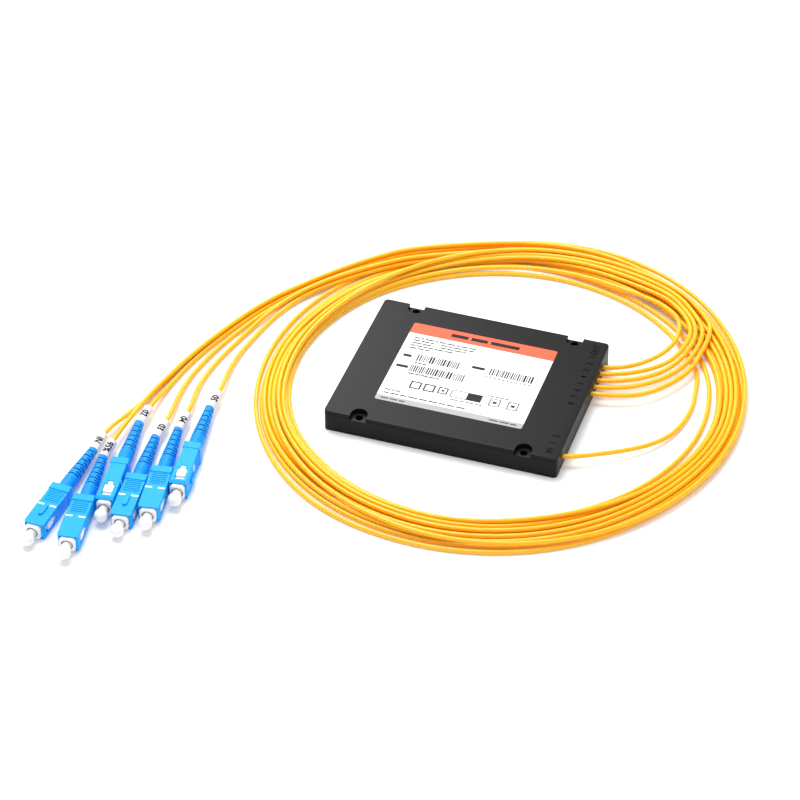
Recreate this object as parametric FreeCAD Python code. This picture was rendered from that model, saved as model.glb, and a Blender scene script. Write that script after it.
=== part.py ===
import FreeCAD, Part
import math
import os

# PLC fibre splitter: a flat ABS module with one input cord and five output cords,
# each cord ending in a push-pull SC plug.  Millimetres, +Z up.  The origin is the
# centre of the module's underside, +X points at the face that the cords leave.

V = FreeCAD.Vector

# ---------------------------------------------------------------- module case
CASE_LENGTH = 100.0
CASE_WIDTH = 80.0
CASE_HEIGHT = 10.0
CASE_CORNER = 1.8
CASE_EDGE = 0.4               # rounding of the outer edges at the top and the bottom
SEAM_BEVEL = 0.15             # bevel of base and lid along the seam between them
WALL = 2.0
FLOOR = 1.6
LID_THICK = 1.4
LIP_DEPTH = 1.0
LIP_THICK = 1.2
FIT = 0.15                    # clearance of parts that drop into one another

HOLE_END_INSET = 14.75        # mounting hole centres in from the short sides
HOLE_SIDE_INSET = 2.5         # and in from the long sides
HOLE_DIA = 3.3
POCKET_WIDTH = 7.0
POCKET_DEPTH = 2.1
POCKET_WALL = 1.6
EAR_WIDTH = POCKET_WIDTH + 2 * POCKET_WALL    # post under each mounting hole

LABEL_LENGTH = 63.4
LABEL_WIDTH = 53.6
LABEL_THICK = 0.12
LABEL_CORNER = 1.0
LABEL_CENTRE = (-1.0, 0.9)

# ------------------------------------------------------------ ports and cords
CORD_DIA = 2.0
PORT_HEIGHT = 5.0
PORT_PITCH = 4.6
FIRST_PORT_INSET = 10.0       # first output port in from the long side at +Y
OUTPUTS = 5
INPUT_PORT_INSET = 9.0        # input port in from the long side at -Y
PORT_CLEARANCE = 0.15
PORT_STRAIGHT = 2.2           # each cord's first bend is this far outside the wall
CLAMP_LENGTH = 8.0
CLAMP_GAP = 2.0               # between the clamps and the inside of the end wall
CLAMP_MARGIN = 1.1            # clamp material beside the outermost cord
CLAMP_HEADROOM = 0.2          # between the clamps and the lid
CLAMP_EAR_GAP = 0.05          # between a clamp and the post under a mounting hole
JACKET_HELD = 3.0             # length of each cord's jacket inside its clamp

# --------------------------------------------------------------- optical chip
TUBE_LENGTH = 40.0
TUBE_SIDE = 4.0
TUBE_WALL = 0.3
TUBE_END_GAP = 14.0           # end of the steel tube from the closed end wall
TUBE_SIDE_GAP = 20.0          # middle of the tube from the side wall at +Y
TUBE_LIFT = 0.8               # underside of the tube above the floor
SEAL_THICK = 1.5
SEAL_FIT = 0.05
CHIP_LENGTH = 14.0
CHIP_WIDTH = 2.6
CHIP_HEIGHT = 2.0
ARRAY_LENGTH = 7.0
ARRAY_HEIGHT = 2.4
CRADLE_SPAN = 26.0
CRADLE_THICK = 2.0
CRADLE_REACH = 3.0            # how far the cradles reach up the tube's sides
BUFFER_DIA = 0.9              # tube round the input fibre
FIBRE_DIA = 0.3
FIBRE_PITCH = 0.5
FIBRE_STRAIGHT = 14.0         # straight stretch of each output fibre behind its array

# Points of the input fibre round the closed end: distance from the end wall, and
# the share of the way from the input port's line to the tube's line.
FIBRE_LOOP = [(16.0, 0.08), (6.0, 0.31), (3.0, 0.59), (3.5, 0.82), (7.5, 0.96)]

# ----------------------------------------------------------------- cord coil
COIL_CENTRE = (12.7, 5.2)
COIL_OUTER = 103.0
COIL_INNER = 80.5
COIL_HEIGHT = 6.2
COIL_BEVEL = 1.8

# ------------------------------------------------ SC plug, x = 0 at its grip's
# front face, +x the way it plugs in, +z the side with the key
FRAME_WIDTH = 6.6
FRAME_HEIGHT = 5.8
GRIP_LENGTH = 25.6
GRIP_SIDE_WALL = 1.0
GRIP_TOP_WALL = 0.6
GRIP_WIDTH = FRAME_WIDTH + 2 * (FIT + GRIP_SIDE_WALL)
GRIP_HEIGHT = FRAME_HEIGHT + 2 * (FIT + GRIP_TOP_WALL)
GRIP_EDGE = 0.4
GRIP_CHAMFER = 1.2
COLLAR_LENGTH = 3.6           # raised band at the rear of the grip
RIB_FIELD = 8.0               # length of the sunk, ribbed finger area
RIB_SUNK = 0.4
RIB_COUNT = 7
RIB_WIDTH = 0.5
RIB_HEIGHT = 0.25
RIB_SPAN = 6.4
KEY_WIDTH = 2.0
KEY_HEIGHT = 0.8
KEY_START = -5.6
KEY_LENGTH = 5.6
WINDOW_START = -2.2           # front edge of the side window
WINDOW_LENGTH = 6.6
WINDOW_HEIGHT = 4.2
NECK_LENGTH = 2.0             # the window's narrower rear step
NECK_HEIGHT = 2.3

FRAME_CHAMFER = 0.9
FRAME_BACK = -20.0
FRAME_STOP_GAP = 0.45         # between the frame's back and the shoulder in the grip
FRAME_NOSE = 1.4              # the plug frame's reach past the grip
FRAME_MOUTH = 4.9
MOUTH_DEPTH = 6.0             # from the grip's front face
WEB_THICK = 2.0
FRAME_BORE = 4.6
CATCH_LENGTH = 3.2            # notch that an adapter's hook drops into
CATCH_HEIGHT = 3.4
CATCH_DEPTH = 0.6

FERRULE_DIA = 2.5
FERRULE_TIP = 3.0
FERRULE_LEAD = (0.5, 0.3)     # chamfer of the tip, along and across
FLANGE_CLEARANCE = 0.2        # all round, in the frame's bore
FLANGE_LENGTH = 3.8
FLANGE_GAP = 0.2
FERRULE_BORE = 0.6

SPRING_CLEARANCE = 0.3        # all round, in the frame's bore
SPRING_WALL = 0.9
SPRING_LENGTH = 5.0

POST_BORE = 1.4
POST_LIP_DIA = 5.4
POST_LIP = 1.2
POST_STEM_DIA = 3.6
POST_END = -27.0
RING_GAP = 0.05               # strength yarn between the post and the ring
RING_WALL = 0.35
RING_LENGTH = 6.5

BOOT_START = -22.0
BOOT_PLAIN_END = -33.0
BOOT_BACK = -52.4
BOOT_DIA = 6.1
BOOT_SMALL_DIA = 3.9
BOOT_BORE = 4.7
BOOT_BORE_END = -30.0
BOOT_CORE_DIA = 3.0           # solid core that the slits leave
SLIT_WIDTH = 0.55
SLIT_PITCH = 1.62
SLIT_COUNT = 11
FIRST_SLIT = 1.134            # first slit's middle behind the boot's plain part
SLIT_BRIDGE = 1.1             # half width of the bridges between slits

SLEEVE_DIA = 4.1
SLEEVE_LENGTH = 10.2
CORD_SLACK = 0.1              # radial room for the cord in sleeve and boot

CAP_NECK_DIA = 3.9
CAP_NECK_BACK = -4.5
CAP_BULB_DIA = 6.1
CAP_BULB_START = 3.4
CAP_END = 8.0
CAP_ROUND = 1.6
CAP_CLEARANCE = 0.1           # all round the ferrule
CAP_BORE_END = 4.0
CAP_RIM = 0.3

# Each plug: the centre of its grip's front face, the way it points (degrees from
# +X) and how it has rolled over: key up 0, key down 180, on a narrow face +-90.
PLUGS = {
    "in": {"front": (-136.46, -139.35), "heading": -93.5, "roll": 0},
    "1": {"front": (-120.35, -142.79), "heading": -82.6, "roll": 180},
    "2": {"front": (-114.98, -118.01), "heading": -83.0, "roll": 90},
    "3": {"front": (-105.87, -123.52), "heading": -83.2, "roll": 0},
    "4": {"front": (-96.69, -116.71), "heading": -81.3, "roll": 180},
    "5": {"front": (-90.79, -99.80), "heading": -82.8, "roll": -90},
}

# Points of each lead between the module and the coil, after its port.
LEAD_POINTS = {
    "1": [(60.8, 34.0, 4.9), (67.4, 40.8, 4.8), (72.0, 48.0, 4.7), (74.6, 57.0, 4.8),
          (74.3, 63.0, 5.0)],
    "2": [(61.2, 29.3, 4.9), (68.9, 34.9, 4.8), (75.0, 41.6, 4.7), (78.3, 50.0, 4.8),
          (79.5, 57.7, 5.0)],
    "3": [(61.2, 24.1, 4.9), (68.9, 29.3, 4.7), (75.3, 36.2, 4.6), (79.4, 44.7, 4.7),
          (81.2, 53.0, 4.9)],
    "4": [(61.2, 19.1, 4.9), (68.9, 23.9, 4.7), (76.0, 31.2, 4.5), (81.0, 39.3, 4.5),
          (83.4, 47.7, 4.7)],
    "5": [(61.2, 13.6, 4.9), (70.4, 17.7, 4.7), (77.4, 25.4, 4.4), (82.9, 34.7, 4.3),
          (85.9, 43.1, 4.5), (86.4, 50.0, 4.7)],
    "in": [(60.6, -26.6, 4.8), (70.8, -20.0, 4.1), (80.4, -11.6, 2.9), (86.9, -2.1, 1.8),
           (90.2, 8.4, 1.2), (91.3, 18.8, 1.0), (90.7, 27.0, 1.0)],
}

# Points of each tail between the coil and the straight stretch in front of its
# plug.  The six lie two deep where they leave the coil, and then fan out.
TAIL_POINTS = {
    "in": [(-48.9, 86.2, 3.0), (-68.8, 70.9, 2.5), (-89.2, 50.3, 1.3), (-103.2, 29.9, 1.0),
           (-113.0, 6.0, 1.0), (-119.9, -14.8, 1.0), (-124.2, -37.5, 1.0),
           (-128.9, -57.0, 1.8)],
    "1": [(-48.2, 85.4, 5.0), (-68.0, 70.1, 4.5), (-88.3, 49.6, 3.3), (-102.3, 29.3, 2.9),
          (-111.9, 5.7, 2.9), (-118.6, -15.0, 3.0), (-122.7, -33.0, 3.1),
          (-125.7, -49.0, 3.4)],
    "2": [(-47.5, 84.5, 3.0), (-67.3, 69.4, 2.6), (-87.5, 49.0, 1.4), (-101.4, 28.7, 1.0),
          (-110.8, 5.3, 1.0), (-117.3, -15.5, 1.0), (-120.6, -35.5, 1.0)],
    "3": [(-46.2, 82.9, 3.0), (-65.7, 67.9, 3.0), (-85.8, 47.7, 2.1), (-99.2, 27.6, 1.0),
          (-108.0, 4.3, 1.0), (-112.9, -15.0, 1.0), (-114.9, -34.0, 1.2)],
    "4": [(-45.5, 82.0, 5.0), (-65.0, 67.1, 4.9), (-84.9, 47.1, 4.3), (-96.8, 28.3, 2.4),
          (-103.6, 5.0, 1.0), (-108.0, -15.5, 1.0), (-108.8, -32.0, 1.4)],
    "5": [(-44.9, 81.2, 3.0), (-64.2, 66.4, 3.0), (-84.0, 46.4, 2.3), (-93.6, 29.8, 1.0),
          (-99.0, 4.5, 1.0), (-100.6, -13.0, 1.7)],
}
STRAIGHT_TAIL = {"in": 9.0, "1": 10.0, "2": 7.0, "3": 9.0, "4": 9.0, "5": 8.0}


# ------------------------------------------------------------------- helpers
def export(node, solids):
    """One STEP per node; several separate solids of a node go in as a compound."""
    shape = solids[0] if len(solids) == 1 else Part.makeCompound(solids)
    for solid in shape.Solids:
        assert solid.isValid(), node
    assert len(shape.Solids) == len(solids), node
    shape.exportStep("parts/%s.step" % node)


def block(x0, x1, y0, y1, z0, z1):
    return Part.makeBox(x1 - x0, y1 - y0, z1 - z0, V(x0, y0, z0))


def rounded_block(length, width, height, radius, centre, z0):
    """A block on z0 whose four upright edges are rounded."""
    x, y = centre
    body = block(x - length / 2, x + length / 2, y - width / 2, y + width / 2, z0, z0 + height)
    upright = [e for e in body.Edges if abs(e.tangentAt(e.FirstParameter).z) > 0.99]
    return body.makeFillet(radius, upright)


def level_edges(body, z):
    """The edges of a body that lie flat at one height."""
    return [e for e in body.Edges
            if abs(e.BoundBox.ZMin - z) < 1e-6 and abs(e.BoundBox.ZMax - z) < 1e-6]


def rod(diameter, x0, x1):
    """A round rod along X."""
    return Part.makeCylinder(diameter / 2, x1 - x0, V(x0, 0, 0), V(1, 0, 0))


def turned(outline):
    """A solid turned about the X axis from (x, radius) points."""
    points = [V(x, r, 0) for x, r in outline]
    face = Part.Face(Part.makePolygon(points + points[:1]))
    return face.revolve(V(0, 0, 0), V(1, 0, 0), 360)


def unit(vector):
    return vector * (1.0 / vector.Length)


def tangent_path(points):
    """Straight runs joined by tangent arcs, each as large as its two runs allow."""
    edges, radii = [], []
    start = points[0]
    for before, corner, after in zip(points, points[1:], points[2:]):
        run_in, run_out = corner - before, after - corner
        way_in, way_out = unit(run_in), unit(run_out)
        half_turn = way_in.getAngle(way_out) / 2
        reach = 0.45 * min(run_in.Length, run_out.Length)
        radius = reach / math.tan(half_turn)
        inward = unit(way_out - way_in)
        centre = corner + inward * (radius / math.cos(half_turn))
        arc_start, arc_end = corner - way_in * reach, corner + way_out * reach
        edges.append(Part.LineSegment(start, arc_start).toShape())
        edges.append(Part.Arc(arc_start, centre - inward * radius, arc_end).toShape())
        radii.append(radius)
        start = arc_end
    edges.append(Part.LineSegment(start, points[-1]).toShape())
    return Part.Wire(edges), radii


def tube_along(points, diameter):
    """A solid round tube along a tangent path, with the path's length and radii."""
    path, radii = tangent_path(points)
    circle = Part.Circle(points[0], unit(points[1] - points[0]), diameter / 2).toShape()
    solid = path.makePipeShell([Part.Wire([circle])], True, False)
    return solid, path.Length, radii


def cord(node, points):
    """One cord stretch: exports it and reports its bends and its volume."""
    solid, length, radii = tube_along(points, CORD_DIA)
    expected = math.pi * CORD_DIA ** 2 / 4 * length
    print("%-24s %6.1f mm  radii %s  volume/section*length %.4f" % (
        node, length, " ".join("%.0f" % r for r in radii), solid.Volume / expected))
    export(node, [solid])


# --------------------------------------------------------------- module case
def inner_size(outer):
    return outer - 2 * WALL


def hole_places():
    """Each mounting hole with the side of the case that its pocket opens to."""
    x, y = CASE_LENGTH / 2 - HOLE_END_INSET, CASE_WIDTH / 2 - HOLE_SIDE_INSET
    return [(sx * x, sy * y, sy) for sx in (-1, 1) for sy in (-1, 1)]


def u_prism(x, y, side, width, z0, z1):
    """A U-shaped prism round a hole, open to the long side of the case."""
    edge = side * CASE_WIDTH / 2
    straight = block(x - width / 2, x + width / 2, min(y, edge), max(y, edge), z0, z1)
    return straight.fuse(Part.makeCylinder(width / 2, z1 - z0, V(x, y, z0))).removeSplitter()


def lead_ports():
    """Name and Y of each cord's port in the end wall."""
    first = CASE_WIDTH / 2 - FIRST_PORT_INSET
    ports = [(str(i + 1), first - PORT_PITCH * i) for i in range(OUTPUTS)]
    return ports + [("in", INPUT_PORT_INSET - CASE_WIDTH / 2)]


def tube_centre():
    return (TUBE_END_GAP + TUBE_LENGTH / 2 - inner_size(CASE_LENGTH) / 2,
            inner_size(CASE_WIDTH) / 2 - TUBE_SIDE_GAP)


def make_case():
    seam = CASE_HEIGHT - LID_THICK
    ledge = CASE_HEIGHT - POCKET_DEPTH
    inner_length, inner_width = inner_size(CASE_LENGTH), inner_size(CASE_WIDTH)
    outline = rounded_block(CASE_LENGTH, CASE_WIDTH, seam, CASE_CORNER, (0, 0), 0)
    outline = outline.makeFillet(CASE_EDGE, level_edges(outline, 0))
    outline = outline.makeChamfer(SEAM_BEVEL, level_edges(outline, seam))
    base = outline.cut(block(-inner_length / 2, inner_length / 2, -inner_width / 2, inner_width / 2,
                          FLOOR, CASE_HEIGHT))
    lid = rounded_block(CASE_LENGTH, CASE_WIDTH, LID_THICK, CASE_CORNER, (0, 0), seam)
    lid = lid.makeFillet(CASE_EDGE, level_edges(lid, CASE_HEIGHT))
    lid = lid.makeChamfer(SEAM_BEVEL, level_edges(lid, seam))
    outside = inner_length / 2 - FIT, inner_width / 2 - FIT
    inside = outside[0] - LIP_THICK, outside[1] - LIP_THICK
    lip = block(-outside[0], outside[0], -outside[1], outside[1], seam - LIP_DEPTH, seam)
    lip = lip.cut(block(-inside[0], inside[0], -inside[1], inside[1], seam - LIP_DEPTH, seam))
    for x, y, side in hole_places():
        base = base.fuse(u_prism(x, y, side, EAR_WIDTH, 0, seam).common(outline))
        lip = lip.cut(u_prism(x, y, side, EAR_WIDTH + 2 * FIT, 0, CASE_HEIGHT))
    lid = lid.fuse(lip)
    for x, y, side in hole_places():
        pocket = u_prism(x, y, side, POCKET_WIDTH, ledge, CASE_HEIGHT)
        base = base.cut(pocket).cut(Part.makeCylinder(HOLE_DIA / 2, CASE_HEIGHT, V(x, y, 0)))
        lid = lid.cut(pocket)
    for _, port_y in lead_ports():
        base = base.cut(Part.makeCylinder(CORD_DIA / 2 + PORT_CLEARANCE, 2 * WALL,
                                          V(inner_length / 2 - WALL / 2, port_y, PORT_HEIGHT), V(1, 0, 0)))
    for cradle in cradles():
        base = base.fuse(cradle)
    export("case_base", [base.removeSplitter()])
    export("case_lid", [lid.removeSplitter()])
    export("face_label", [rounded_block(LABEL_LENGTH, LABEL_WIDTH, LABEL_THICK, LABEL_CORNER,
                                        LABEL_CENTRE, CASE_HEIGHT)])


def cradles():
    """Two slotted ribs on the floor that the steel tube drops into."""
    x, y = tube_centre()
    slot, top = TUBE_SIDE / 2 + FIT, FLOOR + TUBE_LIFT + CRADLE_REACH
    ribs = []
    for rib_x in (x - CRADLE_SPAN / 2, x + CRADLE_SPAN / 2):
        near, far = rib_x - CRADLE_THICK / 2, rib_x + CRADLE_THICK / 2
        rib = block(near, far, y - slot - WALL, y + slot + WALL, FLOOR, top)
        ribs.append(rib.cut(block(near, far, y - slot, y + slot, FLOOR + TUBE_LIFT, top)))
    return ribs


def make_clamps():
    """Blocks behind the end wall that grip the cords' jackets."""
    front = CASE_LENGTH / 2 - WALL - CLAMP_GAP
    back, stop = front - CLAMP_LENGTH, front - JACKET_HELD
    margin = CORD_DIA / 2 + CLAMP_MARGIN
    low, high = FLOOR, CASE_HEIGHT - LID_THICK - CLAMP_HEADROOM
    groups = {"output_cord_clamp": [y for name, y in lead_ports() if name != "in"],
              "input_cord_clamp": [y for name, y in lead_ports() if name == "in"]}
    for node, ports in groups.items():
        body = block(back, front, min(ports) - margin, max(ports) + margin, low, high)
        for y in ports:
            body = body.cut(Part.makeCylinder(CORD_DIA / 2 + CORD_SLACK, JACKET_HELD,
                                              V(stop, y, PORT_HEIGHT), V(1, 0, 0)))
            body = body.cut(Part.makeCylinder(BUFFER_DIA / 2 + CORD_SLACK, CLAMP_LENGTH,
                                              V(back, y, PORT_HEIGHT), V(1, 0, 0)))
        for x, y, side in hole_places():
            body = body.cut(u_prism(x, y, side, EAR_WIDTH + 2 * CLAMP_EAR_GAP, low, high))
        export(node, [body])
    return stop


# ------------------------------------------------------------- optical parts
def make_optics(stop):
    """The sealed splitter chip: steel tube, seals, chip, two fibre arrays, fibres."""
    x, y = tube_centre()
    left, right = x - TUBE_LENGTH / 2, x + TUBE_LENGTH / 2
    bottom = FLOOR + TUBE_LIFT
    middle = bottom + TUBE_SIDE / 2
    half, bore = TUBE_SIDE / 2, TUBE_SIDE / 2 - TUBE_WALL
    tube = block(left, right, y - half, y + half, bottom, bottom + TUBE_SIDE)
    channel = block(left, right, y - bore, y + bore, bottom + TUBE_WALL, bottom + TUBE_SIDE - TUBE_WALL)
    export("chip_tube", [tube.cut(channel)])

    seal_side = bore - SEAL_FIT
    seals = []
    for end, inner in ((left, left + SEAL_THICK), (right - SEAL_THICK, right)):
        seal = block(end, inner, y - seal_side, y + seal_side, middle - seal_side, middle + seal_side)
        slot = (OUTPUTS - 1) * FIBRE_PITCH / 2 + BUFFER_DIA / 2 + FIT
        seals.append(seal.cut(block(end, inner, y - slot, y + slot, middle - BUFFER_DIA / 2 - FIT,
                                    middle + BUFFER_DIA / 2 + FIT)))
    export("tube_end_seals", seals)

    # chip and arrays are glued end to end and stand on the floor of the tube
    stack = bottom + TUBE_WALL
    chip = block(x - CHIP_LENGTH / 2, x + CHIP_LENGTH / 2, y - CHIP_WIDTH / 2, y + CHIP_WIDTH / 2,
                 stack, stack + CHIP_HEIGHT)
    export("splitter_chip", [chip])
    for node, side in (("input_fibre_array", -1), ("output_fibre_array", 1)):
        ends = sorted((x + side * CHIP_LENGTH / 2, x + side * (CHIP_LENGTH / 2 + ARRAY_LENGTH)))
        export(node, [block(ends[0], ends[1], y - CHIP_WIDTH / 2, y + CHIP_WIDTH / 2,
                            stack, stack + ARRAY_HEIGHT)])

    ports = dict(lead_ports())
    array_end = CHIP_LENGTH / 2 + ARRAY_LENGTH
    end_wall, port_y = -inner_size(CASE_LENGTH) / 2, ports.pop("in")
    route = [V(stop, port_y, PORT_HEIGHT), V(right, port_y, PORT_HEIGHT), V(left, port_y, middle)]
    route += [V(end_wall + gap, port_y + share * (y - port_y), middle) for gap, share in FIBRE_LOOP]
    route += [V(left, y, middle), V(x - array_end, y, middle)]
    export("input_fibre", [tube_along(route, BUFFER_DIA)[0]])

    fibres = []
    for i, port_y in enumerate(ports.values()):
        row_y = y + (OUTPUTS - 1 - 2 * i) * FIBRE_PITCH / 2
        start = x + array_end
        route = [V(start, row_y, middle), V(start + FIBRE_STRAIGHT, row_y, middle),
                 V(stop - CLAMP_LENGTH, port_y, PORT_HEIGHT), V(stop, port_y, PORT_HEIGHT)]
        fibres.append(tube_along(route, FIBRE_DIA)[0])
    export("output_fibres", fibres)


# -------------------------------------------------------------------- SC plug
def make_grip():
    """The outer housing that is pushed and pulled, with its key and side windows."""
    w, h = GRIP_WIDTH / 2, GRIP_HEIGHT / 2
    outline = [V(-GRIP_LENGTH, -w, -h), V(-GRIP_CHAMFER, -w, -h), V(0, -w + GRIP_CHAMFER / 2, -h),
               V(0, w - GRIP_CHAMFER / 2, -h), V(-GRIP_CHAMFER, w, -h), V(-GRIP_LENGTH, w, -h)]
    body = Part.Face(Part.makePolygon(outline + outline[:1])).extrude(V(0, 0, GRIP_HEIGHT))
    long_edges = [e for e in body.Edges if abs(unit(e.Vertexes[1].Point - e.Vertexes[0].Point).x) > 0.999]
    body = body.makeFillet(GRIP_EDGE, long_edges)

    field_back = -GRIP_LENGTH + COLLAR_LENGTH
    field_front = field_back + RIB_FIELD
    for side in (-1, 1):
        sunk = sorted((side * (h - RIB_SUNK), side * h))
        body = body.cut(block(field_back, field_front, -w, w, sunk[0], sunk[1]))
        sunk = sorted((side * (w - RIB_SUNK / 2), side * w))
        body = body.cut(block(field_back, field_front, sunk[0], sunk[1], -h, h))
        rib = sorted((side * (h - RIB_SUNK), side * (h - RIB_SUNK + RIB_HEIGHT)))
        for i in range(RIB_COUNT):
            x = field_back + RIB_FIELD * (i + 0.5) / RIB_COUNT
            body = body.fuse(block(x - RIB_WIDTH / 2, x + RIB_WIDTH / 2, -RIB_SPAN / 2, RIB_SPAN / 2,
                                   rib[0], rib[1]))

    key_end = KEY_START - KEY_WIDTH / 2
    key = block(KEY_START - KEY_LENGTH, key_end, -KEY_WIDTH / 2, KEY_WIDTH / 2, 0, h + KEY_HEIGHT)
    key = key.fuse(Part.makeCylinder(KEY_WIDTH / 2, h + KEY_HEIGHT, V(key_end, 0, 0)))
    body = body.fuse(key)

    bore_w, bore_h = FRAME_WIDTH / 2 + FIT, FRAME_HEIGHT / 2 + FIT
    body = body.cut(block(FRAME_BACK - FRAME_STOP_GAP, 0, -bore_w, bore_w, -bore_h, bore_h))
    body = body.cut(rod(BOOT_DIA + 2 * FIT, -GRIP_LENGTH, FRAME_BACK))
    window_back = WINDOW_START - WINDOW_LENGTH
    window = block(window_back, WINDOW_START, -w, w, -WINDOW_HEIGHT / 2, WINDOW_HEIGHT / 2)
    neck = block(window_back - NECK_LENGTH, window_back, -w, w, -NECK_HEIGHT / 2, NECK_HEIGHT / 2)
    return body.cut(window.fuse(neck)).removeSplitter()


def make_plug_frame():
    """The white inner frame that an adapter latches, with its ferrule bore."""
    w, h = FRAME_WIDTH / 2, FRAME_HEIGHT / 2
    body = block(FRAME_BACK, FRAME_NOSE, -w, w, -h, h)
    long_edges = [e for e in body.Edges if abs(unit(e.Vertexes[1].Point - e.Vertexes[0].Point).x) > 0.999]
    body = body.makeChamfer(FRAME_CHAMFER, long_edges)
    web_back = -MOUTH_DEPTH - WEB_THICK
    body = body.cut(rod(FRAME_MOUTH, -MOUTH_DEPTH, FRAME_NOSE))
    body = body.cut(rod(FERRULE_DIA + FIT, web_back, -MOUTH_DEPTH))
    body = body.cut(rod(FRAME_BORE, FRAME_BACK, web_back))
    catch_front = WINDOW_START - WINDOW_LENGTH / 2
    for side in (-1, 1):
        reach = sorted((side * (w - CATCH_DEPTH), side * w))
        body = body.cut(block(catch_front - CATCH_LENGTH, catch_front, reach[0], reach[1],
                              -CATCH_HEIGHT / 2, CATCH_HEIGHT / 2))
    return body


def flange_front():
    return -MOUTH_DEPTH - WEB_THICK - FLANGE_GAP


def make_ferrule():
    """The ceramic ferrule pressed into its flange, with the fibre bore."""
    front = flange_front()
    back = front - FLANGE_LENGTH
    r, flange_r, bore_r = FERRULE_DIA / 2, FRAME_BORE / 2 - FLANGE_CLEARANCE, FERRULE_BORE / 2
    along, across = FERRULE_LEAD
    return turned([(FERRULE_TIP, bore_r), (FERRULE_TIP, r - across), (FERRULE_TIP - along, r),
                   (front, r), (front, flange_r), (back, flange_r), (back, bore_r)])


def make_spring():
    """The closed outer form of the coil spring that pushes the ferrule forward."""
    front = flange_front() - FLANGE_LENGTH
    outer = FRAME_BORE - 2 * SPRING_CLEARANCE
    return rod(outer, front - SPRING_LENGTH, front).cut(
        rod(outer - 2 * SPRING_WALL, front - SPRING_LENGTH, front))


def make_back_post():
    """The metal post that closes the frame, backs the spring and takes the crimp."""
    front = flange_front() - FLANGE_LENGTH - SPRING_LENGTH
    lip_front = FRAME_BACK - FLANGE_GAP
    lip_back = lip_front - POST_LIP
    plug_r, lip_r, stem_r, bore_r = (FRAME_BORE - FIT) / 2, POST_LIP_DIA / 2, POST_STEM_DIA / 2, POST_BORE / 2
    return turned([(front, bore_r), (front, plug_r), (lip_front, plug_r), (lip_front, lip_r),
                   (lip_back, lip_r), (lip_back, stem_r), (POST_END, stem_r), (POST_END, bore_r)])


def make_crimp_ring():
    """The crimped ring that holds the cord's strength yarn on the back post."""
    front = BOOT_START - FIT
    inner = POST_STEM_DIA + 2 * RING_GAP
    return rod(inner + 2 * RING_WALL, front - RING_LENGTH, front).cut(
        rod(inner, front - RING_LENGTH, front))


def make_boot():
    """The flexible bend-relief boot: a tapered tube cut by crossed pairs of slits."""
    big, small, bore = BOOT_DIA / 2, BOOT_SMALL_DIA / 2, BOOT_BORE / 2
    cord_bore = CORD_DIA / 2 + CORD_SLACK
    body = turned([(BOOT_START, bore), (BOOT_START, big), (BOOT_PLAIN_END, big), (BOOT_BACK, small),
                   (BOOT_BACK, cord_bore), (BOOT_BORE_END, cord_bore), (BOOT_BORE_END, bore)])
    core = rod(BOOT_CORE_DIA, BOOT_BACK, BOOT_PLAIN_END)
    for i in range(SLIT_COUNT):
        x = BOOT_PLAIN_END - FIRST_SLIT - SLIT_PITCH * i
        near, far = x - SLIT_WIDTH / 2, x + SLIT_WIDTH / 2
        for side in (-1, 1):
            reach = sorted((side * SLIT_BRIDGE, side * BOOT_DIA))
            if i % 2:
                slit = block(near, far, reach[0], reach[1], -big, big)
            else:
                slit = block(near, far, -big, big, reach[0], reach[1])
            body = body.cut(slit.cut(core))
    return body


def make_number_sleeve():
    """The printed sleeve on the cord behind the boot."""
    ends = BOOT_BACK - SLEEVE_LENGTH, BOOT_BACK
    return rod(SLEEVE_DIA, *ends).cut(rod(CORD_DIA + 2 * CORD_SLACK, *ends))


def make_dust_cap():
    """The soft cap on the ferrule: a thin neck inside the frame and a round bulb."""
    neck, bulb, bore = CAP_NECK_DIA / 2, CAP_BULB_DIA / 2, FERRULE_DIA / 2 + CAP_CLEARANCE
    body = turned([(CAP_NECK_BACK, bore), (CAP_NECK_BACK, neck), (CAP_BULB_START - CAP_RIM, neck),
                   (CAP_BULB_START, bulb), (CAP_END, bulb), (CAP_END, 0), (CAP_BORE_END, 0),
                   (CAP_BORE_END, bore)])
    rim = [e for e in body.Edges if isinstance(e.Curve, Part.Circle)
           and abs(e.Curve.Center.x - CAP_END) < 1e-6 and abs(e.Curve.Radius - bulb) < 1e-6]
    return body.makeFillet(CAP_ROUND, rim)


def rest_height(roll):
    """Height of a plug's axis when its lowest face lies on the surface."""
    if roll == 0:
        return GRIP_HEIGHT / 2
    if roll == 180:
        return GRIP_HEIGHT / 2 + KEY_HEIGHT
    return GRIP_WIDTH / 2


def plug_placement(plug):
    x, y = plug["front"]
    roll = FreeCAD.Rotation(V(1, 0, 0), plug["roll"])
    turn = FreeCAD.Rotation(V(0, 0, 1), plug["heading"])
    return FreeCAD.Placement(V(x, y, rest_height(plug["roll"])), turn.multiply(roll))


def placed(shape, plug):
    copy = shape.copy()
    copy.Placement = plug_placement(plug).multiply(copy.Placement)
    return copy


def make_plugs():
    own_nodes = {"grip": make_grip(), "plug_frame": make_plug_frame(), "ferrule": make_ferrule(),
                 "ferrule_spring": make_spring(), "dust_cap": make_dust_cap()}
    shared_nodes = {"back_posts": make_back_post(), "crimp_rings": make_crimp_ring(),
                    "boots": make_boot(), "number_sleeves": make_number_sleeve()}
    for name, plug in PLUGS.items():
        for node, shape in own_nodes.items():
            export("%s_%s" % (node, name), [placed(shape, plug)])
    for node, shape in shared_nodes.items():
        export(node, [placed(shape, plug) for plug in PLUGS.values()])


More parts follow.
